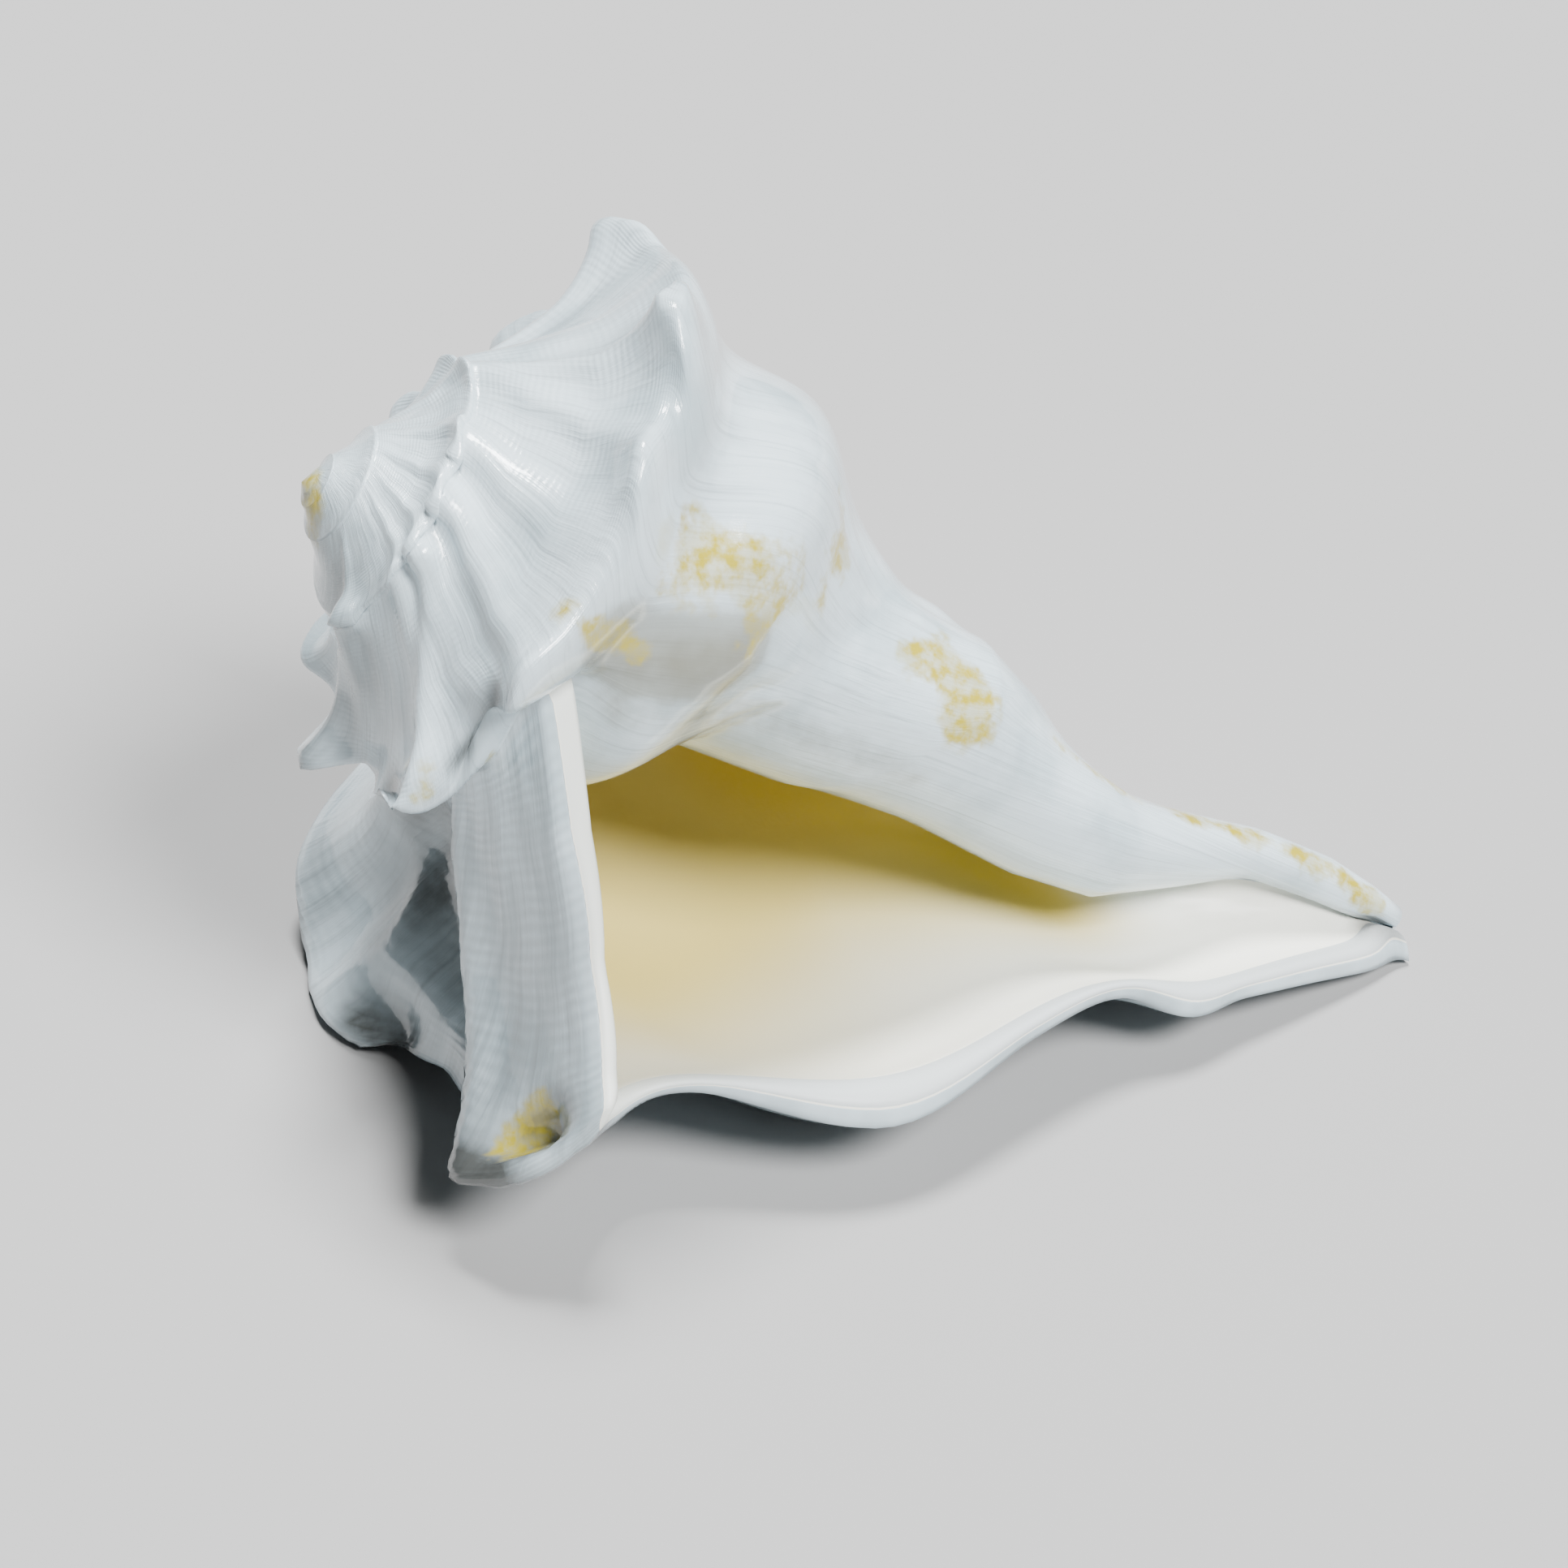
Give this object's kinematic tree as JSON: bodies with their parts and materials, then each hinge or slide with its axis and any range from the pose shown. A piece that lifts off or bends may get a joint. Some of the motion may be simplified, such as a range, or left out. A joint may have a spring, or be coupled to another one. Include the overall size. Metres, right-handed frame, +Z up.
{
  "type": "conch shell",
  "caption": "Left-handed knobbed whelk shell lying on its back: low knobbed spire, wide flared opening, open canal drawn out to a narrow tip.",
  "frame": {"origin": "centre of the bounding box at the height of the surface the shell lies on", "axes": "+Z up as the shell lies on a table, on the belly of its lip, a back knob and the canal tip; +X along the shell from the apex on the left to the canal tip on the right, -Y towards the viewer, on the side where the aperture opens"},
  "size_m": [0.16, 0.1134, 0.1133],
  "materials": {
    "shell_enamel": "polished, glossy white shell enamel with a cream to mustard inside"
  },
  "bodies": {
    "root": {"shell": "shell_enamel"}
  },
  "joints": []
}
